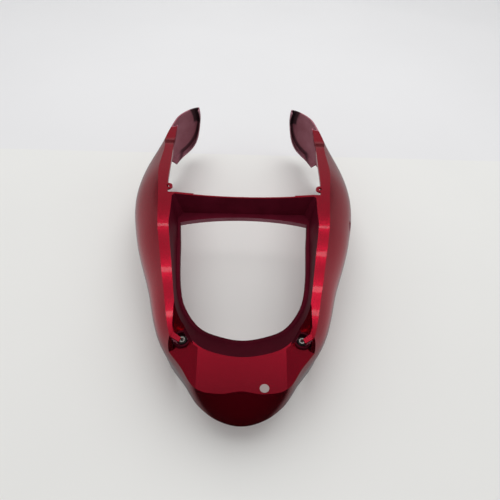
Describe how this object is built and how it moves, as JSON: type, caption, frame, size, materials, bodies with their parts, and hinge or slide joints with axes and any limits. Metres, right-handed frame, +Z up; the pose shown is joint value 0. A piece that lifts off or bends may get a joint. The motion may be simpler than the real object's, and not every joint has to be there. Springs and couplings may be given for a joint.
{
  "type": "motorcycle tail fairing",
  "caption": "Wide one-piece motorcycle tail shell with a beak-shaped rear, two top rails round an open seat well, a cross wall and two inward-curved front arms.",
  "frame": {"origin": "on the table plane under the middle of the shell's bounding box", "axes": "+Y towards the front of the motorcycle, +X towards the side with the lock hole, +Z up"},
  "size_m": [0.4152, 0.6543, 0.167],
  "materials": {
    "paint": "deep red metallic paint with a clear coat outside, dull overspray inside",
    "rubber": "matt black rubber",
    "collar": "bright plated steel"
  },
  "bodies": {
    "root": {"tail_fairing": "paint", "grommet_left": "rubber", "grommet_right": "rubber", "collar_left": "collar", "collar_right": "collar"}
  },
  "joints": []
}
